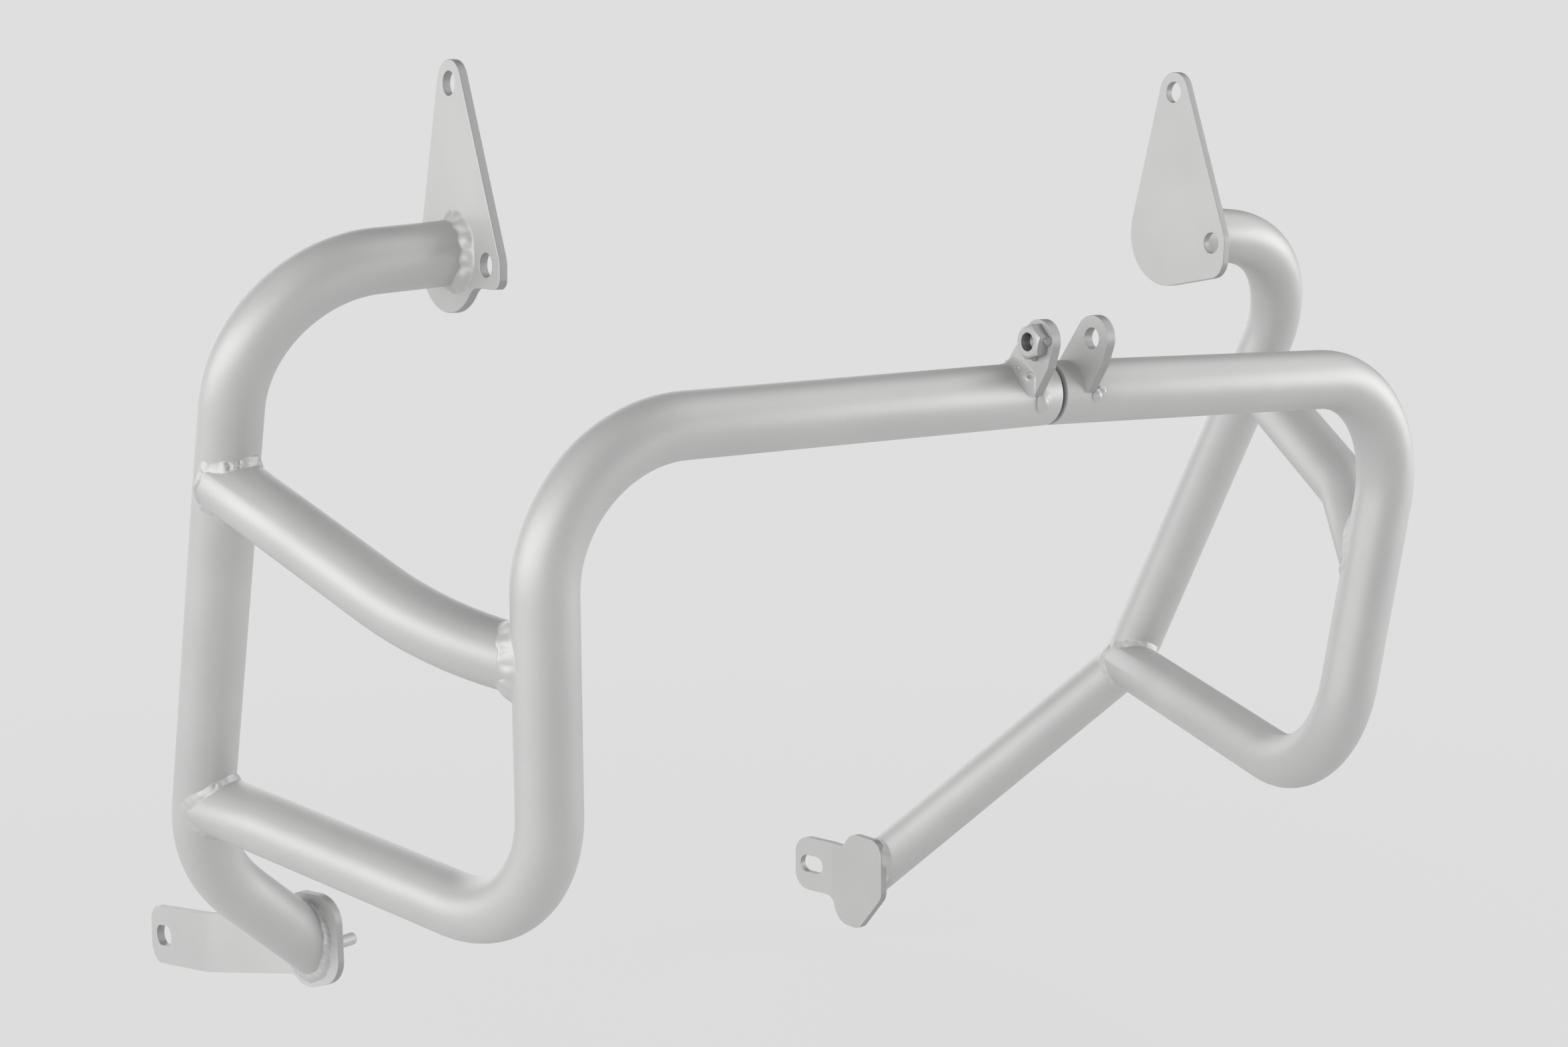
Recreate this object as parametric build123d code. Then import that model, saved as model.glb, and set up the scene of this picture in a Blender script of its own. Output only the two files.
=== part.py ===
from build123d import *
import math
import os

# Motorcycle crash bars: a pair of welded tube halves that clamp together in the middle.
# Sizes are in mm. X runs across the pair, -Y is the front and +Z is up.
# Left and right are as in the photograph, so the right half has X > 0.
# The origin lies on the clamp bolt's axis, midway between the two ears.

os.makedirs("parts", exist_ok=True)

# Tube stock, the same for all the bars
tube_od = 27.0
tube_wall = 2.0
tube_r = tube_od / 2

# The clamp bolt stands behind and above the front tube's axis
clamp_ahead = 15.5
clamp_above = 23.3
half_gap = 1.3
cope_gap = 0.3

# Route of the front loop on the right half, from the tube axis at the middle
loop_corner_top = (237.9, 13.2, -5.3)
loop_corner_low = (220.5, 38.3, -209.7)
loop_bend_top = 58.7
loop_bend_low = 53.3

# Route of the rear side tube: plate end, shoulder, knee and foot
upper_plate_inner = 202.0
plate_thick = 4.0
upper_plate_outer = upper_plate_inner + plate_thick
rear_start = (134.0, 59.5)
rear_shoulder = (300.5, 136.5, 52.5)
rear_knee = (275.5, 240.5, -180.5)
rear_bend_top = 58.0
rear_bend_right = 60.0
rear_bend_left = 80.0
left_knee_reach = 1.143
right_foot = (180.0, 354.8, -313.8)
left_foot = (210.9, 273.6, -264.9)

# Where the loop lands, from the knee of the rear tube. The halves were welded by hand and differ.
right_loop_end = (-4.2, -3.7, -0.3)
left_loop_end = (-0.2, 0.6, -1.4)

# Each strut point is a share of a straight run and an offset from it: its rear end on the rear
# tube's run, its corner between its own ends, and its front end on the loop's upright
right_strut = ((0.304, (0.1, -0.1, 0)), (0.75, (1.1, -5.0, 13.6)), (0.455, (0.1, 0.1, 0)))
left_strut = ((0.368, (2.4, -5.0, 0)), (0.70, (8.2, -11.6, -10.6)), (0.442, (-3.0, 4.9, 0)))
right_strut_bend = 25.0
left_strut_bend = 160.0

# Clamp ears on the front tube: distance of each inner face from the middle, and head radius
ear_thick = 4.5
right_ear = (12.0, 9.6)
left_ear = (13.0, 9.0)
ear_hole_r = 4.5
ear_rear_toe = (4.0, 12.6)
ear_front_toe = (-13.2, 1.0)
ear_neck = (-21.0, 12.6)

# M8 weld nut on the left ear
nut_across = 13.0
nut_height = 6.0
nut_minor_r = 3.325
nut_face_r = 5.9
nut_chamfer_rise = 1.73
nut_turn = 17.0
tack_r = 2.4
tack_out = 7.4
tack_first = 43.0

# Upper plates: outline circles (y, z, radius) and two bolt holes
plate_hole_r = 5.0
upper_holes = ((136.4, 128.2), (108.2, 54.9))
upper_head = (136.4, 128.2, 9.8)
left_lobe = (139.5, 57.5, 23.5)
left_toe = (107.0, 54.9, 9.8)
left_heel = (101.9, 49.8, 4.6)
left_notch = (45.2, 8.0)
right_lobe = (139.5, 58.7, 26.0)
right_toe = (108.7, 55.8, 9.6)
right_heel = (109.0, 46.6, 9.2)

# Lower brackets: outlines are drawn on the foot's face, measured from the tube's axis there.
# Left: a strap that slopes down to the rear and bends once behind a rounded end plate
left_turn = 18.0
left_bend_at = 68.5
left_bend_r = 30.0
left_end_plate = ((5.8, 9.6, 13.2), (6.7, -7.5, 12.9), (0.3, -10.1, 12.1), (-2.5, 10.4, 12.4))
strap_end = -130.6
strap_at_bend = -13.0
strap_slope = 0.166
strap_half = 14.4
strap_corner = 9.0
strap_blend = 5.0
left_slot_run = 50.5
peg_r = 3.0
peg_long = 10.0
peg_spot = (15.9, 0.7)

# Right: a lobe across the tube's end and a tab that turns inwards behind it
right_turn = 10.0
right_bend_at = 25.2
right_bend_r = 20.0
right_lobe_low = (
    (-11.4, 15.6, 9.2),
    (-11.6, -3.7, 9.2),
    (4.7, -19.7, 10.2),
    (11.0, -17.2, 12.6),
    (2.2, 12.8, 12.0),
)
right_tab_end = 54.0
right_tab_half = 15.6
right_tab_corner = 10.0
right_blend = 7.0
right_slot_run = 16.4

slot_long = 17.5
slot_wide = 10.0

# Weld beads stand this far up both sides of a joint; the left strut's front one is longer
bead = 2.6
bead_front_left = 4.2
bead_plate = 4.0
bead_foot = 4.0
bead_over = 1.0
bead_ear = 3.8

# Blocks that cut a tube end off reach well past any tube
cut_width = tube_od * 5
cut_depth = tube_od * 2.6

joint = Vector(0, clamp_ahead, -clamp_above)


def at(x, y, z):
    return Vector(x, y, z) + joint


def along(a, b, share):
    return a + (b - a) * share


def on_run(a, b, spot):
    share, offset = spot
    return along(a, b, share) + Vector(*offset)


def flipped(points):
    return [Vector(-p.X, p.Y, p.Z) for p in points]


def bent_path(points, radii):
    # Straight runs joined by tangent arcs; a bend never takes more than the run it has
    parts = []
    start = points[0]
    for i, radius in enumerate(radii):
        before, corner, after = points[i], points[i + 1], points[i + 2]
        into = (corner - before).normalized()
        out = (after - corner).normalized()
        turn = into.get_angle(out)
        half_tan = math.tan(math.radians(turn / 2))
        room = 0.97 * min((corner - start).length, (after - corner).length)
        reach = min(radius * half_tan, room)
        bend_r = reach / half_tan
        first = corner - into * reach
        last = corner + out * reach
        centre_way = (out - into).normalized()
        centre = corner + centre_way * (bend_r / math.cos(math.radians(turn / 2)))
        middle = centre - centre_way * bend_r
        parts.append(Line(start, first))
        parts.append(ThreePointArc(first, middle, last))
        start = last
    parts.append(Line(start, points[-1]))
    return Wire(parts)


def rod(route, radius):
    path = bent_path(*route)
    across = Plane(origin=path @ 0, z_dir=path % 0)
    return sweep(across * Circle(radius), path=path)


def pipe(route):
    path = bent_path(*route)
    across = Plane(origin=path @ 0, z_dir=path % 0)
    ring = Circle(tube_r) - Circle(tube_r - tube_wall)
    return sweep(across * ring, path=path)


def block_from(face, width, depth):
    # A square block that stands on a plane and runs along its normal
    return extrude(face * Rectangle(width, width), amount=depth)


def across_x(point, way):
    # A plane square to X through a point, facing +X or -X
    return Plane(origin=point, x_dir=(0, 1, 0), z_dir=(way, 0, 0))


def side_sketch(outline, start_x, end_x):
    # An outline drawn in Y and Z, run along X
    low, high = min(start_x, end_x), max(start_x, end_x)
    plane = Plane(origin=(low, 0, 0), x_dir=(0, 1, 0), z_dir=(1, 0, 0))
    return extrude(plane * outline, amount=high - low)


def spot(y, z):
    return Pos(y + joint.Y, z + joint.Z)


def hull_of(circles, grow=0.0):
    # The outline stretched round a set of circles
    edges = []
    for a, b, radius in circles:
        edges += (Pos(a, b) * Circle(radius + grow)).edges()
    return make_hull(edges)


def round_near(sketch, a, b, radius):
    # Rounds the corner of an outline that lies nearest to a point
    target = Vector(a, b, 0)
    corner = sketch.vertices().sort_by(lambda v: (Vector(v.X, v.Y, v.Z) - target).length)[0]
    return fillet(corner, radius)


def blended(outline, radius):
    # Fills the inward corners of an outline with arcs: grown, then shrunk again
    return offset(offset(outline, radius), -radius)


def bent_strip(front, corner, rear, radius, bends_in):
    # A strip seen from above: its -X face runs front, corner, rear, and it is one plate thick
    def square(a, b):
        way = (b - a).normalized()
        return Vector(way.Y, -way.X, 0)

    first = square(front, corner)
    second = square(corner, rear)
    mitre = (first + second) * (plate_thick / (1 + first.dot(second)))
    inner = corner + mitre
    face = make_face(Polyline(
        front,
        corner,
        rear,
        rear + second * plate_thick,
        inner,
        front + first * plate_thick,
        close=True,
    ))
    for point, extra in ((corner, 0 if bends_in else plate_thick), (inner, plate_thick if bends_in else 0)):
        nearest = face.vertices().sort_by(lambda v: (Vector(v.X, v.Y, v.Z) - point).length)[0]
        face = fillet(nearest, radius + extra)
    return extrude(Pos(0, 0, -500) * face, amount=1000)


# Routes of the three tubes in each half
def half_routes(side):
    shoulder = at(*rear_shoulder)
    knee = at(*rear_knee)
    start = at(upper_plate_inner, *rear_start)
    if side > 0:
        way = (at(*right_foot) - knee).normalized()
        foot = at(*right_foot) + way * 30
        rear = ([start, shoulder, knee, foot], [rear_bend_top, rear_bend_right])
    else:
        low_knee = along(shoulder, knee, left_knee_reach)
        way = (at(*left_foot) - low_knee).normalized()
        foot = at(*left_foot) + way * 25
        rear = ([start, shoulder, low_knee, foot], [rear_bend_top, rear_bend_left])
    top = at(*loop_corner_top)
    low = at(*loop_corner_low)
    landing = knee + Vector(*(right_loop_end if side > 0 else left_loop_end))
    loop = ([at(0, 0, 0), top, low, landing], [loop_bend_top, loop_bend_low])
    rear_spot, corner_spot, front_spot = right_strut if side > 0 else left_strut
    strut_rear = on_run(shoulder, knee, rear_spot)
    strut_front = on_run(top, low, front_spot)
    strut_corner = on_run(strut_rear, strut_front, corner_spot)
    strut = ([strut_rear, strut_corner, strut_front], [right_strut_bend if side > 0 else left_strut_bend])
    routes = []
    for points, radii in (rear, loop, strut):
        routes.append((points if side > 0 else flipped(points), radii))
    return routes


def weld_where(branch, main, reach=bead):
    # The bead around a coped tube end: both tubes grown, less the tubes themselves.
    # It reaches this far back along the branch.
    ring = rod(branch, tube_r + bead) & rod(main, tube_r + reach)
    return ring - rod(main, tube_r) - rod(branch, tube_r)


def upper_plate_outline(side):
    # The rounded outline is a hull of circles; the left one has a notch under its toe
    if side > 0:
        outline = hull_of([upper_head, right_lobe, right_toe, right_heel])
    else:
        notch_z, notch_r = left_notch
        toe_block = make_face(Polyline(
            (left_heel[0], notch_z),
            (left_lobe[0], notch_z),
            (left_lobe[0], left_toe[1]),
            (left_heel[0], left_toe[1]),
            close=True,
        ))
        front = hull_of([upper_head, left_toe, left_heel])
        outline = blended(front + hull_of([upper_head, left_lobe]) + toe_block, notch_r)
    holes = [Pos(y, z) * Circle(plate_hole_r) for y, z in upper_holes]
    return spot(0, 0) * (outline - holes)


def left_bracket_outline():
    front = left_end_plate[0][0]
    corners = []
    for u, lift in ((front, -1), (strap_end, -1), (strap_end, 1), (front, 1)):
        corners.append((u, strap_mid(u) + lift * strap_half))
    strap = make_face(Polyline(*corners, close=True))
    for lift in (-1, 1):
        strap = round_near(strap, strap_end, strap_mid(strap_end) + lift * strap_half, strap_corner)
    return blended(strap + hull_of(left_end_plate), strap_blend)


def strap_mid(u):
    # Height of the left strap's middle line along the foot's face
    return strap_at_bend + strap_slope * (u + left_bend_at)


def right_bracket_outline():
    start = right_lobe_low[3][0]
    width = right_tab_end - start
    tab = Pos(start + width / 2, 0) * Rectangle(width, right_tab_half * 2)
    for lift in (-1, 1):
        tab = round_near(tab, right_tab_end, lift * right_tab_half, right_tab_corner)
    return blended(tab + hull_of(right_lobe_low), right_blend)


def biggest(shape):
    return shape.solids().sort_by(SortBy.VOLUME)[-1]


nodes = {}

for side, name in ((1, "right"), (-1, "left")):
    rear, loop, strut = half_routes(side)
    rear_rod = rod(rear, tube_r)
    loop_rod = rod(loop, tube_r)

    # The loop starts at the middle gap and is coped onto the rear tube
    middle = block_from(across_x((side * half_gap, joint.Y, joint.Z), -side), tube_od * 2, 10)
    cope_rear = rod(rear, tube_r + cope_gap)
    loop_tube = pipe(loop) - middle - cope_rear
    nodes["loop_tube_" + name] = biggest(loop_tube)
    nodes["weld_loop_end_" + name] = weld_where(loop, rear)

    # The strut is coped at both of its ends
    strut_tube = pipe(strut) - cope_rear - rod(loop, tube_r + cope_gap)
    nodes["strut_" + name] = biggest(strut_tube)
    nodes["weld_strut_rear_" + name] = weld_where(strut, rear)
    front_reach = bead if side > 0 else bead_front_left
    nodes["weld_strut_front_" + name] = weld_where(strut, loop, front_reach)

    # Upper plate: a rounded plate across X with two bolt holes
    outline = upper_plate_outline(side)
    nodes["upper_plate_" + name] = side_sketch(outline, side * upper_plate_inner, side * upper_plate_outer)
    top_point = at(side * upper_plate_outer, *rear_start)

    # Lower bracket: an outline on the foot's face, cut from a strip that is bent in plan
    if side > 0:
        foot_point = at(*right_foot)
        foot_face = across_x(foot_point, 1)
        corner = Vector(foot_point.X - plate_thick, foot_point.Y + right_bend_at, 0)
        front = corner - Vector(0, 80, 0)
        lean = math.radians(right_turn)
        rear_way = Vector(-math.sin(lean), math.cos(lean), 0)
        strip = bent_strip(front, corner, corner + rear_way * 60, right_bend_r, True)
        outline = right_bracket_outline()
        trim = hull_of(right_lobe_low, bead_over)
        slot_run, slot_z, slope = right_slot_run, foot_point.Z, 0
    else:
        foot_point = at(-left_foot[0], left_foot[1], left_foot[2])
        lean = math.radians(left_turn)
        front_way = Vector(math.sin(lean), -math.cos(lean), 0)
        foot_face = Plane(origin=foot_point, x_dir=front_way, z_dir=(-math.cos(lean), -math.sin(lean), 0))
        foot_flat = Vector(foot_point.X, foot_point.Y, 0)
        corner = foot_flat - front_way * left_bend_at
        rear_way = Vector(0, 1, 0)
        strip = bent_strip(foot_flat + front_way * 60, corner, corner + rear_way * 90, left_bend_r, False)
        outline = left_bracket_outline()
        trim = hull_of(left_end_plate, bead_over)
        slot_run = left_slot_run
        slot_z = foot_point.Z + strap_mid(-left_bend_at - left_slot_run * math.cos(lean))
        slope = -math.degrees(math.atan(strap_slope))
    bracket = extrude(foot_face * outline, amount=90, both=True) & strip
    slot_at = corner + rear_way * slot_run + Vector(0, 0, slot_z)
    tab_out = Vector(rear_way.Y, -rear_way.X, 0)
    slot_face = Plane(origin=slot_at, x_dir=rear_way, z_dir=tab_out)
    slot = slot_face * Rot(0, 0, slope) * SlotOverall(slot_long, slot_wide)
    bracket -= extrude(slot, amount=plate_thick * 2, both=True)
    nodes["lower_bracket_" + name] = biggest(bracket)

    # The rear tube is cut off against the upper plate and the lower bracket
    upper_cut = block_from(across_x(top_point, -side), cut_width, cut_depth)
    foot_back = Plane(origin=foot_point, x_dir=foot_face.x_dir, z_dir=foot_face.z_dir * -1)
    foot_cut = block_from(foot_back, cut_width, cut_depth)
    nodes["rear_tube_" + name] = biggest(pipe(rear) - upper_cut - foot_cut)
    collar = rod(rear, tube_r + bead_plate) & block_from(across_x(top_point, side), cut_width, bead_plate)
    nodes["weld_upper_plate_" + name] = collar - rear_rod
    # The foot's bead stays on the bracket, so the bracket's own outline trims it
    collar = rod(rear, tube_r + bead_foot) & block_from(foot_face, cut_width, bead_foot)
    collar = collar & extrude(foot_face * trim, amount=bead_foot)
    nodes["weld_foot_" + name] = biggest(collar - rear_rod)

    # Ear: a rounded lug coped onto the front tube, with the bolt hole at the origin
    ear_inner, head_r = right_ear if side > 0 else left_ear
    toes = [(y + joint.Y, z + joint.Z, 0.6) for y, z in (ear_rear_toe, ear_front_toe, ear_neck)]
    lug = hull_of([(0, 0, head_r)] + toes) - Circle(ear_hole_r)
    ear_outer = ear_inner + ear_thick
    ear = side_sketch(lug, side * ear_inner, side * ear_outer)
    nodes["clamp_ear_" + name] = biggest(ear - loop_rod)

    # Ear bead: a section turned about the tube, on the ear's outer side
    low_angle = math.degrees(math.atan2(ear_rear_toe[1], ear_rear_toe[0]))
    high_angle = math.degrees(math.atan2(ear_front_toe[1], ear_front_toe[0]))
    section = Polyline(
        (ear_outer, tube_r - 1.5),
        (ear_outer + bead_ear, tube_r - 1.5),
        (ear_outer + bead_ear, tube_r + 0.4),
        (ear_outer + 0.4, tube_r + bead_ear),
        (ear_outer, tube_r + bead_ear),
        close=True,
    )
    # The section starts on +Y and is then turned up to the rear toe
    spin = Rot(low_angle, 0, 0) * revolve(make_face(section), Axis.X, high_angle - low_angle)
    if side < 0:
        spin = mirror(spin, about=Plane.YZ)
    first_run = (loop[0][1] - loop[0][0]).normalized()
    drift = first_run * (ear_outer / abs(first_run.X))
    spin = Pos(0, joint.Y + drift.Y, joint.Z + drift.Z) * spin
    nodes["weld_ear_" + name] = biggest(spin - loop_rod)

# M8 weld nut on the left ear, with its thread's minor bore and a chamfered outer face
nut_seat = Plane(origin=(-ear_outer, 0, 0), x_dir=(0, 1, 0), z_dir=(-1, 0, 0))
hexagon = nut_seat * RegularPolygon(nut_across / 2, 6, major_radius=False, rotation=nut_turn)
nut_base_r = nut_face_r + nut_height * nut_chamfer_rise
taper = Cone(nut_base_r, nut_face_r, nut_height, align=(Align.CENTER, Align.CENTER, Align.MIN))
nut = extrude(hexagon, amount=nut_height) & (nut_seat * taper)
nut -= extrude(nut_seat * Circle(nut_minor_r), amount=nut_height)
nodes["weld_nut"] = biggest(nut)

# Three tack welds hold the nut, each a small lump in the corner by one flat
tacks = []
for i in range(3):
    angle = math.radians(tack_first + 120 * i)
    centre = (-ear_outer, tack_out * math.cos(angle), tack_out * math.sin(angle))
    lump = Pos(*centre) * Sphere(tack_r) & block_from(across_x(centre, -1), tack_r * 4, tack_r)
    tacks.append(lump - extrude(hexagon, amount=nut_height))
nodes["weld_nut_tacks"] = Compound(children=tacks)

# A short peg stands on the inner face of the left bracket, near its front edge
peg_base = foot_face.from_local_coords(Vector(*peg_spot, -plate_thick))
inwards = foot_face.z_dir * -1
peg = extrude(Plane(origin=peg_base, z_dir=inwards) * Circle(peg_r), amount=peg_long)
nodes["peg_left"] = fillet(peg.edges().sort_by(Axis(peg_base, inwards))[-1], peg_r * 0.4)

for name, shape in nodes.items():
    export_step(shape, "parts/" + name + ".step")
    print(name, shape.is_valid, round(shape.volume, 1), len(shape.solids()))
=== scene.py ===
import bpy
import math
from mathutils import Matrix, Vector, noise
from mathutils.bvhtree import BVHTree


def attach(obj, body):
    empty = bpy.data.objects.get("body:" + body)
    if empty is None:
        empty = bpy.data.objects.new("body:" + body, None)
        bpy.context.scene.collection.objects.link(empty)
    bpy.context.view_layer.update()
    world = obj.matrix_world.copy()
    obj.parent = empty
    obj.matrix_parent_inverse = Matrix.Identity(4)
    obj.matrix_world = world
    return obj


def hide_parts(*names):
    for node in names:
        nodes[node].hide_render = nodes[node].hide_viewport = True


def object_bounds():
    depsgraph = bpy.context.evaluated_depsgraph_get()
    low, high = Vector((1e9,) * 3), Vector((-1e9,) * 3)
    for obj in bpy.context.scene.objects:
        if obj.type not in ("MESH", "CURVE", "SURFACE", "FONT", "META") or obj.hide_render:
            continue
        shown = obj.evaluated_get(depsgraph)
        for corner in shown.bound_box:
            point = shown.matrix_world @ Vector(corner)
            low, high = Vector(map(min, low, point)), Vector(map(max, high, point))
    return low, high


# Motorcycle crash bars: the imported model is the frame, and this file gives it its looks.
# Lengths below are in millimetres unless a name says otherwise.
mm = 0.001
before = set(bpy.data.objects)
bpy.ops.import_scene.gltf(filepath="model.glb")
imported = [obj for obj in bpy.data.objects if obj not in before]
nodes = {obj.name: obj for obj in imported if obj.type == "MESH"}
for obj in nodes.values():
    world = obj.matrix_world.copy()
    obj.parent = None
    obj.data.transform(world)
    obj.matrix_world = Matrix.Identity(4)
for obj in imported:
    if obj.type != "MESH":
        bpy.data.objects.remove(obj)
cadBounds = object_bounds()
print("frame loaded:", len(nodes), "nodes")


def pickNone():
    if bpy.context.object and bpy.context.object.mode != "OBJECT":
        bpy.ops.object.mode_set(mode="OBJECT")
    bpy.ops.object.select_all(action="DESELECT")


def pick(piece):
    pickNone()
    piece.select_set(True)
    bpy.context.view_layer.objects.active = piece


def applyAll(piece):
    pick(piece)
    for modifier in list(piece.modifiers):
        bpy.ops.object.modifier_apply(modifier=modifier.name)


def settle(piece, material, slotName, *stoodFor):
    # The piece takes its finish, rides on the frame and stands for its CAD nodes
    pick(piece)
    bpy.ops.object.transform_apply(location=True, rotation=True, scale=True)
    piece.data.materials.clear()
    piece.data.materials.append(material)
    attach(piece, "root")
    if stoodFor:
        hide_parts(*stoodFor)
    return piece


def smoothShade(piece, degrees):
    pick(piece)
    bpy.ops.object.shade_smooth_by_angle(angle=math.radians(degrees))


# Finishes. The bars are powder coated in a satin silver grey with a fine grain.
coatLook = {
    "paleGrey": (0.565, 0.565, 0.56),
    "deepGrey": (0.515, 0.515, 0.512),
    "grainPerMetre": 1500,
    "mottlePerMetre": 24,
    "grainDetail": 2,
    "mottleDetail": 6,
    "grainShare": 0.35,
    "greySpan": (0.3, 0.7),
    "grainDepth": 0.035,
    "grainStrength": 0.6,
    "roughness": 0.5,
    "roughnessSpread": 0.05,
    "metallic": 0.35,
}


def coatMaterial(name, look, shade=1.0):
    material = bpy.data.materials.new(name)
    material.use_nodes = True
    tree = material.node_tree
    shader = tree.nodes["Principled BSDF"]
    shader.inputs["Metallic"].default_value = look["metallic"]
    coords = tree.nodes.new("ShaderNodeTexCoord")
    mottle = tree.nodes.new("ShaderNodeTexNoise")
    mottle.inputs["Scale"].default_value = look["mottlePerMetre"]
    mottle.inputs["Detail"].default_value = look["mottleDetail"]
    grain = tree.nodes.new("ShaderNodeTexNoise")
    grain.inputs["Scale"].default_value = look["grainPerMetre"]
    grain.inputs["Detail"].default_value = look["grainDetail"]
    tint = tree.nodes.new("ShaderNodeValToRGB")
    for stop, place, grey in zip(tint.color_ramp.elements, look["greySpan"], ("deepGrey", "paleGrey")):
        stop.position = place
        stop.color = (*[c * shade for c in look[grey]], 1)
    speckle = tree.nodes.new("ShaderNodeMix")
    speckle.data_type = "FLOAT"
    speckle.inputs["Factor"].default_value = look["grainShare"]
    gloss = tree.nodes.new("ShaderNodeMapRange")
    gloss.inputs["To Min"].default_value = look["roughness"] - look["roughnessSpread"]
    gloss.inputs["To Max"].default_value = look["roughness"] + look["roughnessSpread"]
    bump = tree.nodes.new("ShaderNodeBump")
    bump.inputs["Strength"].default_value = look["grainStrength"]
    bump.inputs["Distance"].default_value = look["grainDepth"] * mm
    link = tree.links.new
    link(coords.outputs["Object"], mottle.inputs["Vector"])
    link(coords.outputs["Object"], grain.inputs["Vector"])
    link(mottle.outputs["Fac"], speckle.inputs["A"])
    link(grain.outputs["Fac"], speckle.inputs["B"])
    link(speckle.outputs["Result"], tint.inputs["Fac"])
    link(tint.outputs["Color"], shader.inputs["Base Color"])
    link(grain.outputs["Fac"], gloss.inputs["Value"])
    link(gloss.outputs["Result"], shader.inputs["Roughness"])
    link(grain.outputs["Fac"], bump.inputs["Height"])
    link(bump.outputs["Normal"], shader.inputs["Normal"])
    return material


powderCoat = coatMaterial("powderCoat", coatLook)
nutFinish = coatMaterial("nutFinish", dict(coatLook, roughness=0.46), shade=0.95)
# Painted shade: a darker copy of the coat for the nut's flanks and its tacks
paintedFlankShade = coatMaterial("paintedFlankShade", dict(coatLook, roughness=0.46, metallic=0.5), shade=0.6)
# Painted shade: a darker copy of the coat for the plates' sawn rims
paintedRimShade = coatMaterial("paintedRimShade", dict(coatLook, metallic=0.5), shade=0.68)
# The thread is bare steel, made darker still as painted shade of the deep bore
threadSteelAndShade = coatMaterial("threadSteelAndShade", dict(coatLook, metallic=0.8, roughness=0.45), shade=0.22)
print("finishes mixed")


# Tubes: each is a circle drawn out along its straight runs and spun round its bends.
# Points are taken from the front tubes' axis at the middle, for the half with X > 0.
tubeJoint = Vector((0, 15.5, -23.3))
tubeRadius = 13.5
tubeLook = {
    "sides": 72,
    "wall": 2.6,
    "stepDegrees": 3,     # of a bend, for each step
    "fewestSteps": 8,
    "bendShare": 0.97,    # of a straight run that a bend may take up at most
    "halfGap": 1.3,       # from the middle of the joint to a tube's cut end
    "plateInset": 1.2,    # how far a tube's end stands in its plate
    "overrun": 10,        # past a flat cut at the start
    "setBack": 40,        # from the landing to where a coped start is drawn from
    "approach": 45,       # the same for a coped finish
    "stub": 20,
    "fitIn": 0.3,         # a coped end goes this far into the other tube's coat
    "cutReach": 55,
    "mergeWithin": 0.001,
    "endEase": 0.3,
    "sharpOver": 60,
    "smoothUnder": 40,
}
tubes = {
    "rear_tube_right": {
        "points": [(202, 134, 59.5), (300.5, 136.5, 52.5), (275.5, 240.5, -180.5), (180, 354.8, -313.8)],
        "bends": [58, 60], "past": 30,
    },
    "rear_tube_left": {
        "points": [(202, 134, 59.5), (300.5, 136.5, 52.5), (271.9, 255.4, -213.8), (210.9, 273.6, -264.9)],
        "bends": [58, 80], "past": 25,
    },
    "loop_tube_right": {
        "points": [(0, 0, 0), (237.9, 13.2, -5.3), (220.5, 38.3, -209.7), (271.3, 236.8, -180.8)],
        "bends": [58.7, 53.3], "landsOn": "rear_tube_right",
    },
    "loop_tube_left": {
        "points": [(0, 0, 0), (237.9, 13.2, -5.3), (220.5, 38.3, -209.7), (275.3, 241.1, -181.9)],
        "bends": [58.7, 53.3], "landsOn": "rear_tube_left",
    },
    "strut_right": {
        "points": [(292.9, 168.1, -18.3), (246.8, 55.5, -64.7), (230, 24.6, -98.3)],
        "bends": [25], "startsOn": "rear_tube_right", "landsOn": "loop_tube_right", "approach": 30,
    },
    "strut_left": {
        "points": [(293.7, 169.7, -33.2), (255.4, 59.8, -87.6), (227.2, 29.2, -95.7)],
        "bends": [160], "startsOn": "rear_tube_left", "tucked": 0.9,
    },
}
leftFootLean = 18.0


def placed(name, point):
    across = -1 if name.endswith("left") else 1
    return Vector((point[0] * across, point[1], point[2])) + tubeJoint


def surfaceOf(nodeName):
    mesh = nodes[nodeName].data
    corners = [v.co / mm for v in mesh.vertices]
    return BVHTree.FromPolygons(corners, [p.vertices[:] for p in mesh.polygons])


landingSteps = {"furthest": 80, "closeEnough": 0.02, "stride": 0.9}


def landing(surface, start, way):
    # Steps along one line of a tube's outside until it meets the other piece or comes closest to it
    reach, best, closest = 0, 0, landingSteps["furthest"]
    while reach < landingSteps["furthest"] and closest > landingSteps["closeEnough"]:
        hit, normal, face, away = surface.find_nearest(start + way * reach)
        if away < closest:
            closest, best = away, reach
        reach += max(away * landingSteps["stride"], landingSteps["closeEnough"])
    hit, normal, face, away = surface.find_nearest(start + way * best)
    return start + way * best, normal


def copeRing(piece, ring, centre, way, nodeName):
    # The end ring of a tube is drawn onto the round of the tube that it lands on
    surface = surfaceOf(nodeName)
    for index in ring:
        corner = piece.data.vertices[index]
        edge = piece.matrix_world @ corner.co / mm - centre
        edge -= way * edge.dot(way)
        end = landing(surface, centre + edge, way)[0] + way * tubeLook["fitIn"]
        corner.co = piece.matrix_world.inverted() @ (end * mm)


def pickedRing(piece):
    bpy.ops.object.mode_set(mode="OBJECT")
    return [v.index for v in piece.data.vertices if v.select]


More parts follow.
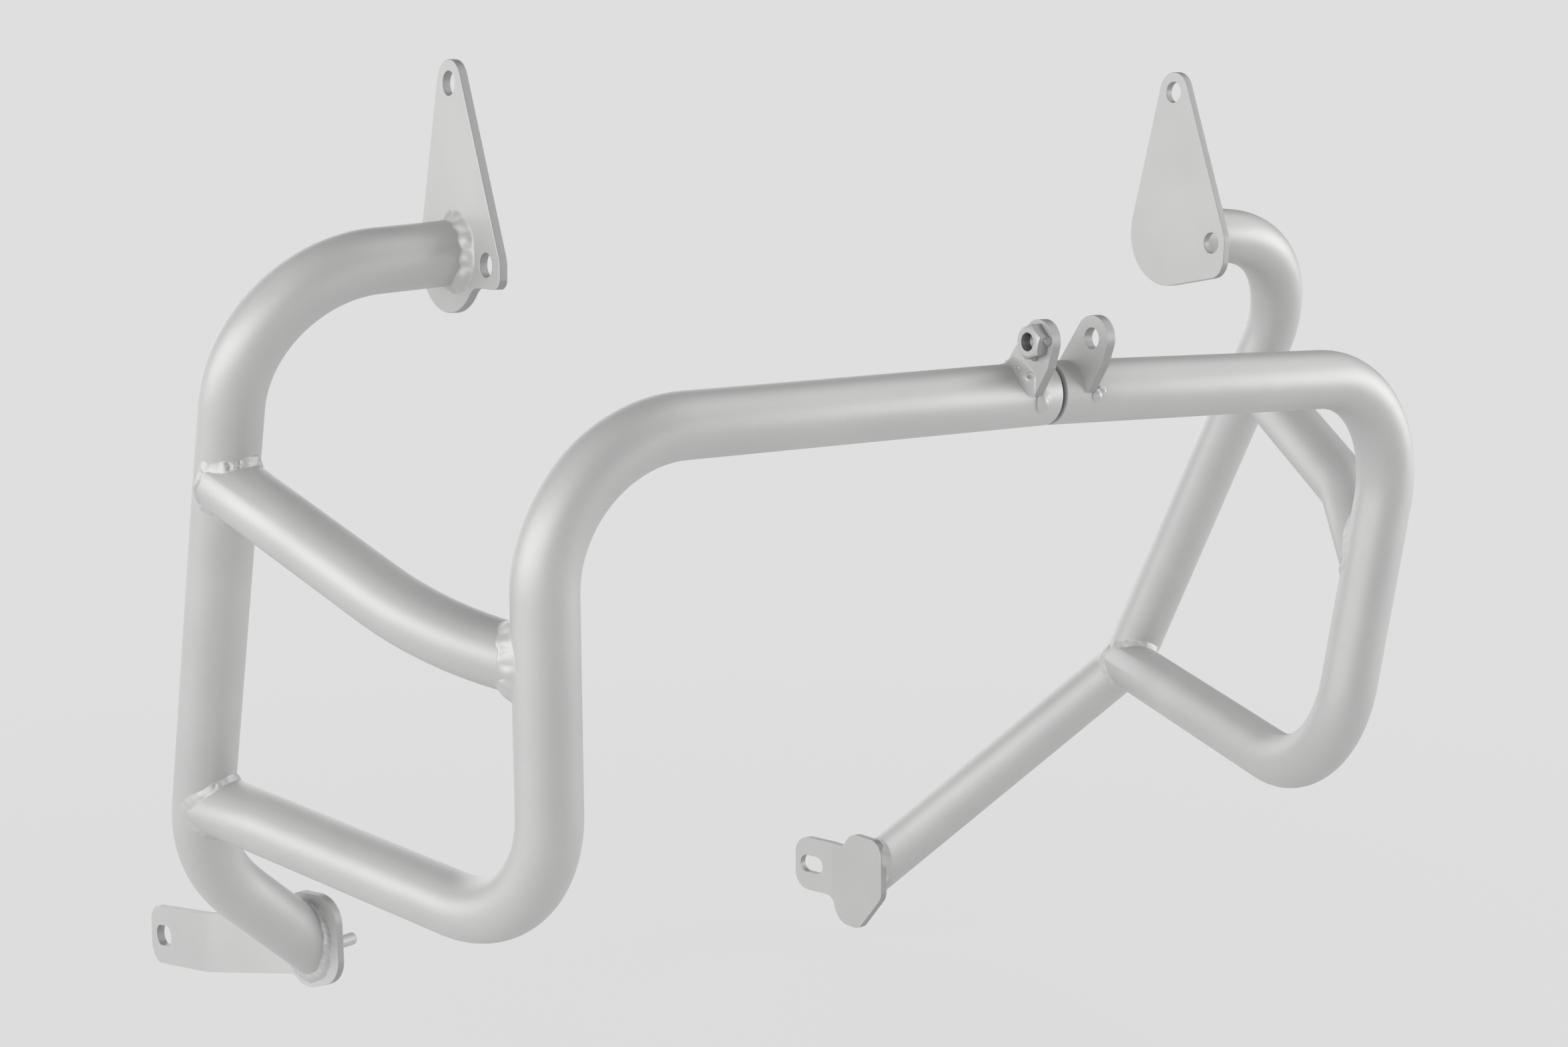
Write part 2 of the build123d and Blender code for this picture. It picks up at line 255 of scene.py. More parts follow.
def drawTube(name, spec):
    points = [placed(name, point) for point in spec["points"]]
    if "past" in spec:
        points[-1] += (points[-1] - points[-2]).normalized() * spec["past"]
    startWay = (points[1] - points[0]).normalized()
    here = points[0] + startWay * (tubeLook["setBack"] if "startsOn" in spec else -tubeLook["overrun"])
    pickNone()
    bpy.ops.mesh.primitive_circle_add(
        vertices=tubeLook["sides"], radius=tubeRadius * mm, location=here * mm,
        rotation=startWay.to_track_quat("Z", "Y").to_euler())
    piece = bpy.context.object
    piece.name = name + "_coated"
    firstRing = range(tubeLook["sides"])
    bpy.ops.object.mode_set(mode="EDIT")
    bpy.ops.mesh.select_all(action="SELECT")
    for i, radius in enumerate(spec["bends"]):
        corner = points[i + 1]
        into = (corner - points[i]).normalized()
        out = (points[i + 2] - corner).normalized()
        turn = into.angle(out)
        last = points[i] if i == 0 else here
        room = tubeLook["bendShare"] * min((corner - last).length, (points[i + 2] - corner).length)
        reach = min(radius * math.tan(turn / 2), room)
        bend = reach / math.tan(turn / 2)
        first = corner - into * reach
        centre = corner + (out - into).normalized() * bend / math.cos(turn / 2)
        bpy.ops.mesh.extrude_region_move(TRANSFORM_OT_translate={"value": (first - here) * mm})
        bpy.ops.mesh.spin(
            steps=max(tubeLook["fewestSteps"], round(math.degrees(turn) / tubeLook["stepDegrees"])),
            angle=-turn, center=centre * mm, axis=into.cross(out))
        here = corner + out * reach
    way = (points[-1] - here).normalized()
    end = points[-1]
    if "landsOn" in spec:
        end = end - way * spec.get("approach", tubeLook["approach"])
    bpy.ops.mesh.extrude_region_move(TRANSFORM_OT_translate={"value": (end - here) * mm})
    if "tucked" in spec:
        bpy.ops.transform.resize(value=(spec["tucked"],) * 3)
    if "landsOn" in spec:
        bpy.ops.mesh.extrude_region_move(TRANSFORM_OT_translate={"value": way * tubeLook["stub"] * mm})
        copeRing(piece, pickedRing(piece), end, way, spec["landsOn"])
    bpy.ops.object.mode_set(mode="OBJECT")
    if "startsOn" in spec:
        bpy.ops.object.mode_set(mode="EDIT")
        bpy.ops.mesh.select_all(action="DESELECT")
        bpy.ops.object.mode_set(mode="OBJECT")
        for index in firstRing:
            piece.data.vertices[index].select = True
        bpy.ops.object.mode_set(mode="EDIT")
        stub = startWay * tubeLook["stub"]
        bpy.ops.mesh.extrude_region_move(TRANSFORM_OT_translate={"value": -stub * mm})
        start = points[0] + startWay * tubeLook["setBack"]
        copeRing(piece, pickedRing(piece), start, -startWay, spec["startsOn"])
    return piece


def cutTube(piece, point, outward):
    # Cuts one end of a tube flat against a plate or the middle joint
    pick(piece)
    corners = [piece.matrix_world @ v.co / mm for v in piece.data.vertices]
    for face in piece.data.polygons:
        face.select = any((corners[i] - point).length < tubeLook["cutReach"] for i in face.vertices)
    bpy.ops.object.mode_set(mode="EDIT")
    bpy.ops.mesh.select_mode(type="FACE")
    bpy.ops.mesh.bisect(plane_co=point * mm, plane_no=outward, clear_outer=True)
    bpy.ops.mesh.select_mode(type="VERT")
    bpy.ops.object.mode_set(mode="OBJECT")


def finishTube(name, piece):
    pick(piece)
    bpy.ops.object.mode_set(mode="EDIT")
    bpy.ops.mesh.select_all(action="SELECT")
    bpy.ops.mesh.remove_doubles(threshold=tubeLook["mergeWithin"] * mm)
    bpy.ops.mesh.normals_make_consistent(inside=False)
    bpy.ops.object.mode_set(mode="OBJECT")
    wall = piece.modifiers.new("wall", "SOLIDIFY")
    wall.thickness = tubeLook["wall"] * mm
    wall.offset = -1
    ease = piece.modifiers.new("easedEnds", "BEVEL")
    ease.width = tubeLook["endEase"] * mm
    ease.segments = 2
    ease.limit_method = "ANGLE"
    ease.angle_limit = math.radians(tubeLook["sharpOver"])
    applyAll(piece)
    smoothShade(piece, tubeLook["smoothUnder"])
    return settle(piece, powderCoat, "powder_coat", name)


for name, spec in tubes.items():
    piece = drawTube(name, spec)
    across = -1 if name.endswith("left") else 1
    if name.startswith("loop"):
        cutTube(piece, tubeJoint + Vector((across * tubeLook["halfGap"], 0, 0)), Vector((-across, 0, 0)))
    if name.startswith("rear"):
        top = placed(name, spec["points"][0]) + Vector((across * tubeLook["plateInset"], 0, 0))
        cutTube(piece, top, Vector((-across, 0, 0)))
        foot = placed(name, spec["points"][-1])
        lean = math.radians(leftFootLean) if across < 0 else 0
        outward = Vector((-across * math.cos(lean), math.sin(lean), 0))
        cutTube(piece, foot + outward * tubeLook["plateInset"], outward)
    finishTube(name, piece)
print("tubes drawn:", len(tubes))


# Cut plates: the laser-cut edges are eased, as blasting and the coat leave them
plateLook = {
    "ease": {"upper_plate": 0.45, "lower_bracket": 0.5, "clamp_ear": 0.45},
    "mergeWithin": 0.002,
    "flatWithin": 0.5,        # degrees between faces that are joined again
    "sharpOver": 50,
    "rimSlant": 0.35,         # how far a rim's normal may lean towards a broad face's
    "smallestRim": 1e-8,      # square metres
}


def mergedCopy(nodeName, pieceName):
    # A CAD mesh is loose triangles, so its copy is merged before it is worked on
    piece = bpy.data.objects.new(pieceName, nodes[nodeName].data.copy())
    bpy.context.scene.collection.objects.link(piece)
    pick(piece)
    bpy.ops.object.mode_set(mode="EDIT")
    bpy.ops.mesh.select_all(action="SELECT")
    bpy.ops.mesh.remove_doubles(threshold=plateLook["mergeWithin"] * mm)
    bpy.ops.object.mode_set(mode="OBJECT")
    return piece


def dressPlate(nodeName, ease):
    # The plate's flat faces are joined again before its edges are eased
    piece = mergedCopy(nodeName, nodeName + "_coated")
    bpy.ops.object.mode_set(mode="EDIT")
    bpy.ops.mesh.select_all(action="SELECT")
    bpy.ops.mesh.dissolve_limited(angle_limit=math.radians(plateLook["flatWithin"]))
    bpy.ops.object.mode_set(mode="OBJECT")
    bevel = piece.modifiers.new("easedEdges", "BEVEL")
    bevel.width = ease * mm
    bevel.segments = 3
    bevel.limit_method = "ANGLE"
    bevel.angle_limit = math.radians(plateLook["sharpOver"])
    applyAll(piece)
    smoothShade(piece, plateLook["sharpOver"])
    flat = piece.modifiers.new("flatFaces", "WEIGHTED_NORMAL")
    flat.weight = 100
    flat.keep_sharp = True
    applyAll(piece)
    settle(piece, powderCoat, "powder_coat", nodeName)
    # The sawn rims are given a darker grey than the broad faces, as painted shade
    piece.data.materials.append(paintedRimShade)
    broadest = sorted(piece.data.polygons, key=lambda face: -face.area)[:2]
    facings = [face.normal.copy() for face in broadest]
    for face in piece.data.polygons:
        isRim = all(abs(face.normal.dot(facing)) < plateLook["rimSlant"] for facing in facings)
        if isRim and face.area > plateLook["smallestRim"]:
            face.material_index = 1
    return piece


for side in ("left", "right"):
    for part, ease in plateLook["ease"].items():
        dressPlate(part + "_" + side, ease)
print("plates eased")

nodes["peg_left"].data.materials.clear()
nodes["peg_left"].data.materials.append(powderCoat)
print("peg coated")


# Weld beads. Each joint gives the run of the tube that lands, from the front tubes' axis,
# the node that it lands on, and how its bead was laid.
beadLook = {
    "stations": 180,
    "evening": 18,
    "sections": 16,
    "shortestStep": 0.001,
    "ripple": 4.2,
    "rippleDepth": 0.3,
    "rippleLevel": 0.6,
    "fewestRipples": 6,
    "lumpSize": 6.0,
    "lumpDepth": 0.4,
    "lumpShift": 3,        # in the noise, so that the crown and the legs wander apart
    "legUneven": 0.2,
    "legLump": 0.8,        # of the lump size
    "legShifts": (5, 9),
    "shownShare": 0.72,    # of a section's points that lie on its outside
    "toeDepth": 0.06,
    "hold": 0.35,          # how long a bead's skin keeps to the tubes before it rises
    "cover": 0.35,
    "sink": 0.9,
    "toeSink": 0.4,        # of that depth
    "endFade": (0.1, 0.22),
    "fadeCurve": 0.6,
    "thinEnd": 0.08,
    "markReach": 4,        # this and the next two are times a mark's size
    "rimWidth": 0.35,
    "pitWidth": 0.6,
    "startRing": (20, 4),
}
beads = {
    "weld_loop_end_right": {
        "from": (220.5, 38.3, -209.7), "to": (271.3, 236.8, -180.8),
        "on": "rear_tube_right", "legs": (2.8, 3.0), "crown": 0.3,
        "marks": ({"at": (0.035, 0.5), "size": 2.0, "pit": -0.8},),
    },
    "weld_loop_end_left": {
        "from": (-220.5, 38.3, -209.7), "to": (-275.3, 241.1, -181.9),
        "on": "rear_tube_left", "legs": (2.8, 3.0), "crown": 0.3,
        "marks": ({"at": (0.93, 0.6), "size": 0.9, "pit": 0.9},),
    },
    "weld_strut_rear_right": {
        "from": (246.8, 55.5, -64.7), "to": (292.9, 168.1, -18.3),
        "on": "rear_tube_right", "legs": (2.8, 2.8), "crown": 0.5,
    },
    "weld_strut_rear_left": {
        "from": (-255.4, 59.8, -87.6), "to": (-293.7, 169.7, -33.2),
        "on": "rear_tube_left", "legs": (2.8, 3.0), "crown": 0.35,
        "marks": (
            {"at": (0.92, 0.3), "size": 1.0, "pit": 1.1},
            {"at": (0.925, 0.5), "size": 1.1, "pit": 1.3},
            {"at": (0.922, 0.7), "size": 1.0, "pit": 1.0},
            {"at": (0.958, 0.35), "size": 1.0, "pit": 1.0},
            {"at": (0.962, 0.55), "size": 1.1, "pit": 1.3},
            {"at": (0.96, 0.72), "size": 0.9, "pit": 0.9},
            {"at": (0.03, 0.8), "size": 2.4, "pit": -0.8},
        ),
    },
    "weld_strut_front_right": {
        "from": (246.8, 55.5, -64.7), "to": (230.0, 24.6, -98.3),
        "on": "loop_tube_right", "legs": (2.8, 2.8), "crown": 0.5, "approach": 32,
    },
    "weld_strut_front_left": {
        "from": (-246.4, 52.6, -87.8), "to": (-227.2, 29.2, -95.7),
        "on": "loop_tube_left", "legs": (6.0, 4.8), "crown": 1.0, "approach": 20, "lobes": (5.5, 0.6),
        "tube": "strut_left", "evening": 50,
        "marks": (
            {"at": (0.02, 0.4), "size": 0.8, "pit": 1.2},
            {"at": (0.225, 0.2), "size": 1.6, "pit": 1.5},
            {"at": (0.32, 0.74), "size": 1.3, "pit": 1.4},
        ),
    },
    "weld_upper_plate_right": {
        "from": (300.5, 136.5, 52.5), "to": (202.0, 134.0, 59.5),
        "on": "upper_plate_right", "legs": (4.4, 3.8), "crown": 0.5, "lobes": (6.5, 0.6),
    },
    "weld_upper_plate_left": {
        "from": (-300.5, 136.5, 52.5), "to": (-202.0, 134.0, 59.5),
        "on": "upper_plate_left", "legs": (4.6, 4.2), "crown": 0.6, "lobes": (6.5, 0.7),
    },
    "weld_foot_right": {
        "from": (275.5, 240.5, -180.5), "to": (180.0, 354.8, -313.8),
        "on": "lower_bracket_right", "legs": (3.6, 3.0), "crown": 0.5, "lobes": (4.5, 0.5),
    },
    "weld_foot_left": {
        "from": (-271.9, 255.4, -213.8), "to": (-210.9, 273.6, -264.9),
        "on": "lower_bracket_left", "legs": (3.2, 2.8), "crown": 0.7, "lobes": (3.0, 0.5),
    },
}


def seamPoints(bead, surface, count, look):
    # Where the outside of the landing tube meets the other piece, all the way round
    start = Vector(bead["from"]) + tubeJoint
    way = (Vector(bead["to"]) + tubeJoint - start).normalized()
    upward = (Vector((0, 0, 1)) - way * way.z).normalized()
    sideways = way.cross(upward)
    back = Vector(bead["to"]) + tubeJoint - way * bead.get("approach", tubeLook["approach"])
    rough = []
    for i in range(count * 2):
        turn = math.pi * i / count
        outward = upward * math.cos(turn) + sideways * math.sin(turn)
        rough.append(landing(surface, back + outward * tubeRadius, way))
    # Stations are set out evenly along the seam, and the small flats of the CAD surface evened out
    steps = [(rough[(i + 1) % len(rough)][0] - rough[i][0]).length for i in range(len(rough))]
    seam = []
    place, gone = 0, 0
    for i in range(count):
        want = sum(steps) * i / count
        while gone + steps[place] < want:
            gone += steps[place]
            place += 1
        share = (want - gone) / max(steps[place], look["shortestStep"])
        this, after = rough[place], rough[(place + 1) % len(rough)]
        seam.append([this[0].lerp(after[0], share), this[1].lerp(after[1], share)])
    for spell in range(bead.get("evening", look["evening"])):
        seam = [
            [(seam[i - 1][k] + seam[i][k] * 2 + seam[(i + 1) % count][k]) / 4 for k in (0, 1)]
            for i in range(count)]
    stations = []
    for point, normal in seam:
        foot = back + way * (point - back).dot(way)
        outward = (point - foot).normalized()
        stations.append([foot + outward * tubeRadius, normal.normalized(), outward, way])
    return stations, back


def arcPoints(bead, count):
    # Part of the way round the front tube, along the outer face of an ear
    axis = tubeJoint + Vector((bead["face"], *bead["axis"]))
    low, high = bead["arc"]
    away = Vector((-1 if bead["face"] < 0 else 1, 0, 0))
    seam = []
    for i in range(count):
        turn = math.radians(low + (high - low) * i / (count - 1))
        outward = Vector((0, math.cos(turn), math.sin(turn)))
        seam.append([axis + outward * tubeRadius, away, outward, -away])
    return seam, axis


noiseGain = 1.6    # brings the noise to between about -1 and 1


def wander(point, size, seed):
    # Slow unevenness of a hand-laid bead
    return noise.noise(Vector(point) / size + Vector((seed, 0, 0))) * noiseGain


def ontoTube(spot, start, way):
    foot = start + way * (spot - start).dot(way)
    return foot + (spot - foot).normalized() * tubeRadius


def between(a, b, c, d, share):
    # A smooth curve from a to d that leaves towards b and comes in from c
    rest = 1 - share
    return a * rest ** 3 + b * 3 * rest ** 2 * share + c * 3 * rest * share ** 2 + d * share ** 3


def beadSkin(name, bead, look):
    # Each station has one section: its shown side from toe to toe, and its root inside the joint
    count, across = look["stations"], look["sections"]
    shown = round(across * look["shownShare"])
    surface = surfaceOf(bead["on"])
    bentTube = surfaceOf(bead["tube"]) if "tube" in bead else None
    isOpen = "arc" in bead
    seam, start = arcPoints(bead, count) if isOpen else seamPoints(bead, surface, count, look)
    around = 0
    lengths = []
    for i in range(count):
        lengths.append(around)
        around += (seam[(i + 1) % count][0] - seam[i][0]).length
    ripple, depth = bead.get("lobes", (look["ripple"], look["rippleDepth"]))
    ripples = max(look["fewestRipples"], round(around / ripple))
    seed = sum(ord(letter) for letter in name) % 17
    sink = look["sink"]
    tangents = []
    for i in range(count):
        first, last = (max(i - 1, 0), min(i + 1, count - 1)) if isOpen else (i - 1, (i + 1) % count)
        tangents.append((seam[last][0] - seam[first][0]).normalized())
    facing = sum(tangents[i].cross(seam[i][2]).dot(-seam[i][3]) for i in range(count))
    spots = []
    for i, (point, normal, outward, way) in enumerate(seam):
        run = i / (count - 1)
        along = tangents[i] * (1 if facing > 0 else -1)
        branchWay = along.cross(outward).normalized()
        mainWay = normal.cross(along).normalized()
        crownWay = (outward + normal).normalized()
        phase = math.pi * ripples * lengths[i] / around
        scallop = depth * (abs(math.sin(phase)) - look["rippleLevel"])
        size = 1.0
        if isOpen:
            size = 1 + bead["heavyStart"] * (1 - run)
            fadeIn, fadeOut = look["endFade"]
            fullness = min(1, run / fadeIn, (1 - run) / fadeOut) ** look["fadeCurve"]
            size *= look["thinEnd"] + (1 - look["thinEnd"]) * fullness
        legWave = look["lumpSize"] * look["legLump"]
        legA, legB = [
            size * leg * (1 + look["legUneven"] * wander(point, legWave, seed + shift))
            for leg, shift in zip(bead["legs"], look["legShifts"])]
        lift = bead["crown"] + look["lumpDepth"] * wander(point, look["lumpSize"], seed + look["lumpShift"])
        toeA = ontoTube(point + branchWay * legA, start, way) - outward * look["toeDepth"]
        if bentTube:
            toeA = bentTube.find_nearest(toeA)[0] - outward * look["toeDepth"]
        toeB = surface.find_nearest(point + mainWay * legB)[0] - normal * look["toeDepth"]
        root = point - crownWay * sink * size
        hold = bead.get("hold", look["hold"])
        leaveA, leaveB = toeA - branchWay * legA * hold, toeB - mainWay * legB * hold
        # Where the two surfaces run almost level, the bead still covers the edge of the tube
        middle = between(toeA, leaveA, leaveB, toeB, 0.5)
        rise = max(lift + scallop, (point - middle).dot(crownWay) + look["cover"])
        for j in range(across):
            if j <= shown:
                share = j / shown
                spot = between(toeA, leaveA, leaveB, toeB, share)
                spot += crownWay * size * rise * math.sin(math.pi * share) ** 2
            else:
                share = (j - shown) / (across - shown)
                lowA = toeA - outward * sink * look["toeSink"] * size
                lowB = toeB - normal * sink * look["toeSink"] * size
                spot = lowB.lerp(root, share * 2) if share < 0.5 else root.lerp(lowA, share * 2 - 1)
            spots.append((spot, crownWay))
    return spots


def pressMarks(spots, bead, look):
    # Pits, lumps and rims, each round one point of the bead's shown side
    count, across = look["stations"], look["sections"]
    shown = round(across * look["shownShare"])
    for mark in bead.get("marks", ()):
        run, share = mark["at"]
        middle = spots[round(run * (count - 1)) * across + round(share * shown)][0].copy()
        for k, (spot, crownWay) in enumerate(spots):
            away = (spot - middle).length / mark["size"]
            if away < look["markReach"]:
                rise = mark.get("rim", 0) * math.exp(-((away - 1) / look["rimWidth"]) ** 2)
                rise -= mark.get("pit", 0) * math.exp(-(away / look["pitWidth"]) ** 2)
                spots[k] = (spot + crownWay * rise, crownWay)


def closeEnds(piece, count, across):
    # An open bead has two ends: the ring's closing strip goes and both ends are filled
    firstRow, lastRow = range(across), range((count - 1) * across, count * across)
    bpy.ops.object.mode_set(mode="EDIT")
    bpy.ops.mesh.select_mode(type="FACE")
    bpy.ops.mesh.select_all(action="DESELECT")
    bpy.ops.object.mode_set(mode="OBJECT")
    for face in piece.data.polygons:
        corners = face.vertices[:]
        face.select = any(c in firstRow for c in corners) and any(c in lastRow for c in corners)
    bpy.ops.object.mode_set(mode="EDIT")
    bpy.ops.mesh.delete(type="ONLY_FACE")
    bpy.ops.mesh.select_mode(type="EDGE")
    bpy.ops.mesh.select_all(action="SELECT")
    bpy.ops.mesh.delete_loose(use_verts=False, use_edges=True, use_faces=False)
    bpy.ops.mesh.select_all(action="SELECT")
    bpy.ops.mesh.fill_holes(sides=across)
    bpy.ops.mesh.select_mode(type="VERT")
    bpy.ops.object.mode_set(mode="OBJECT")


def layBead(name, bead, look):
    # A ring is only the start: each of its points goes to its place in the bead's skin
    count, across = look["stations"], look["sections"]
    ringRadius, sectionRadius = look["startRing"]
    pickNone()
    bpy.ops.mesh.primitive_torus_add(
        major_segments=count, minor_segments=across,
        major_radius=ringRadius * mm, minor_radius=sectionRadius * mm)
    piece = bpy.context.object
    piece.name = name + "_bead"
    spots = beadSkin(name, bead, look)
    pressMarks(spots, bead, look)
    for vertex, (spot, crownWay) in zip(piece.data.vertices, spots):
        vertex.co = piece.matrix_world.inverted() @ (spot * mm)
    pick(piece)
    if "arc" in bead:
        closeEnds(piece, count, across)
    bpy.ops.object.mode_set(mode="EDIT")
    bpy.ops.mesh.select_all(action="SELECT")
    bpy.ops.mesh.normals_make_consistent(inside=False)
    bpy.ops.object.mode_set(mode="OBJECT")
    bpy.ops.object.shade_smooth()
    return piece


for name, bead in beads.items():
    settle(layBead(name, bead, beadLook), powderCoat, "powder_coat", name)
print("beads laid:", len(beads))


# Small lumps of weld: each is a ball, squashed and made uneven
lumpLook = {"segments": 32, "rings": 20, "uneven": 0.14, "unevenSize": 1.3}
swellLook = {
    "segments": 48,
    "rings": 32,
    "foot": -1.2,
    "toeDepth": 0.08,
    "roundness": 1.6,
    "uneven": 0.35,
    "unevenSize": 0.5,
}


def drawLump(place, radii, seed):
    pickNone()
    bpy.ops.mesh.primitive_uv_sphere_add(
        segments=lumpLook["segments"], ring_count=lumpLook["rings"], radius=mm)
    lump = bpy.context.object
    for vertex in lump.data.vertices:
        swell = 1 + lumpLook["uneven"] * wander(vertex.co / mm, lumpLook["unevenSize"], seed)
        reach = Vector([vertex.co[k] * radii[k] for k in range(3)])
        vertex.co = reach * swell + Vector(place) * mm
    bpy.ops.object.shade_smooth()
    return lump


def drawSwell(swell, seed):
    # A low swelling of weld that dies out into the round of the front tube
    pickNone()
    bpy.ops.mesh.primitive_uv_sphere_add(
        segments=swellLook["segments"], ring_count=swellLook["rings"], radius=mm)
    lump = bpy.context.object
    for vertex in lump.data.vertices:
        run, out, rise = vertex.co / mm
        height = swellLook["foot"]
        if out < 0:
            height = swell["height"] * max(0, 1 - run ** 2 - rise ** 2) ** swellLook["roundness"]
            height *= 1 + swellLook["uneven"] * wander((run, 0, rise), swellLook["unevenSize"], seed)
        turn = math.radians(swell["angle"]) - rise * swell["tall"] / tubeRadius
        outward = Vector((0, math.cos(turn), math.sin(turn)))
        axis = tubeJoint + Vector((swell["across"] + run * swell["wide"], 0, 0))
        vertex.co = (axis + outward * (tubeRadius - swellLook["toeDepth"] + height)) * mm
    bpy.ops.object.shade_smooth()
    return lump


def joinPieces(pieces, name):
    pickNone()
    for piece in pieces:
        piece.select_set(True)
    bpy.context.view_layer.objects.active = pieces[0]
    bpy.ops.object.join()
    pieces[0].name = name
    return pieces[0]


# Ear beads: they run over the front tube from the ear's rear edge to its front toe
earBeadLook = dict(beadLook, stations=140, sections=34, ripple=5.0, rippleDepth=0.12, lumpDepth=0.5)
earBeads = {
    "weld_ear_left": {
        "face": -17.5, "on": "clamp_ear_left", "axis": (0.97, -0.39), "arc": (70, 178),
        "legs": (6.2, 4.6), "crown": 0.25, "hold": 0.5, "heavyStart": -0.2,
        "marks": (
            {"at": (0.7, 0.62), "size": 1.3, "rim": 0.45, "pit": 1.1},
            {"at": (0.42, 0.2), "size": 0.8, "pit": -0.5},
            {"at": (0.46, 0.28), "size": 0.7, "pit": 0.7},
            {"at": (0.06, 0.75), "size": 1.4, "pit": -0.9},
        ),
        "swells": ({"across": -11.2, "angle": 188, "wide": 3.9, "tall": 5.2, "height": 1.3},),
    },
    "weld_ear_right": {
        "face": 16.5, "on": "clamp_ear_right", "axis": (0.92, -0.37), "arc": (70, 180),
        "legs": (3.8, 3.2), "crown": 0.5, "heavyStart": 0.0,
        "swells": (
            {"across": 18.4, "angle": 184, "wide": 2.6, "tall": 2.8, "height": 1.3},
            {"across": 20.6, "angle": 178, "wide": 2.2, "tall": 2.4, "height": 1.1},
        ),
    },
}

for name, bead in earBeads.items():
    piece = layBead(name, bead, earBeadLook)
    swells = [drawSwell(swell, seed) for seed, swell in enumerate(bead["swells"], 4)]
    piece = joinPieces([piece, *swells], name + "_bead")
    settle(piece, powderCoat, "powder_coat", name)
print("ears welded:", len(earBeads))


# Weld nut on the left ear: a chamfered hexagon with a cut thread, held by three tacks
weldNut = {
    "seat": -17.5,
    "height": 6.0,
    "across": 13.0,
    "turn": 17.0,
    "faceRadius": 5.9,
    "chamferRise": 1.73,
    "boreRadius": 3.8,
    "countersink": 0.12,
    "pitch": 1.25,
    "threadDepth": 0.62,
    "threadInset": 0.2,
    "threadShort": 0.5,
    "threadBury": 0.05,
    "threadSteps": 40,
    "threadSmooth": 30,
    "chamferSides": 96,
    "boreSides": 64,
    "edgeEase": 0.25,
    "sharpOver": 25,
    "smoothUnder": 35,
    "flankSlant": 0.3,
    "tackSeeds": (11, 16, 21),
    "tackAngles": (43, 175, 283),
    "tackOut": 6.3,
    "tackRise": 0.7,
    "tackRadii": (2.5, 2.1, 2.1),
}


def drawNut(nut):
    middle = nut["seat"] - nut["height"] / 2
    outer = nut["seat"] - nut["height"]
    # Laid on its side first, and then turned about the bolt's axis
    laid = Matrix.Rotation(math.radians(90), 3, "Y")
    stance = Matrix.Rotation(math.radians(-nut["turn"]), 3, "X") @ laid
    pickNone()
    bpy.ops.mesh.primitive_cylinder_add(
        vertices=6, radius=nut["across"] / 2 / math.cos(math.radians(30)) * mm,
        depth=nut["height"] * mm, location=(middle * mm, 0, 0), rotation=stance.to_euler())
    body = bpy.context.object
    body.name = "weld_nut_threaded"
    wide = nut["faceRadius"] + nut["height"] * nut["chamferRise"]
    pickNone()
    bpy.ops.mesh.primitive_cone_add(
        vertices=nut["chamferSides"], radius1=nut["faceRadius"] * mm, radius2=wide * mm,
        depth=nut["height"] * mm, location=(middle * mm, 0, 0), rotation=(0, math.radians(90), 0))
    chamfer = bpy.context.object
    pickNone()
    bpy.ops.mesh.primitive_cylinder_add(
        vertices=nut["boreSides"], radius=nut["boreRadius"] * mm, depth=nut["height"] * 2 * mm,
        location=(middle * mm, 0, 0), rotation=(0, math.radians(90), 0))
    bore = bpy.context.object
    sink = nut["countersink"]
    pickNone()
    bpy.ops.mesh.primitive_cone_add(
        vertices=nut["boreSides"], radius1=(nut["boreRadius"] + sink * 2) * mm,
        radius2=nut["boreRadius"] * mm, depth=sink * 2 * mm,
        location=(outer * mm, 0, 0), rotation=(0, math.radians(90), 0))
    mouth = bpy.context.object
    pick(body)
    for cutter, way in ((chamfer, "INTERSECT"), (bore, "DIFFERENCE"), (mouth, "DIFFERENCE")):
        cut = body.modifiers.new("cut", "BOOLEAN")
        cut.object = cutter
        cut.operation = way
        cut.solver = "EXACT"
    applyAll(body)
    for cutter in (chamfer, bore, mouth):
        bpy.data.objects.remove(cutter)
    ease = body.modifiers.new("easedEdges", "BEVEL")
    ease.width = nut["edgeEase"] * mm
    ease.segments = 2
    ease.limit_method = "ANGLE"
    ease.angle_limit = math.radians(nut["sharpOver"])
    applyAll(body)
    smoothShade(body, nut["smoothUnder"])
    return body


triangleTall = 0.866    # of its side


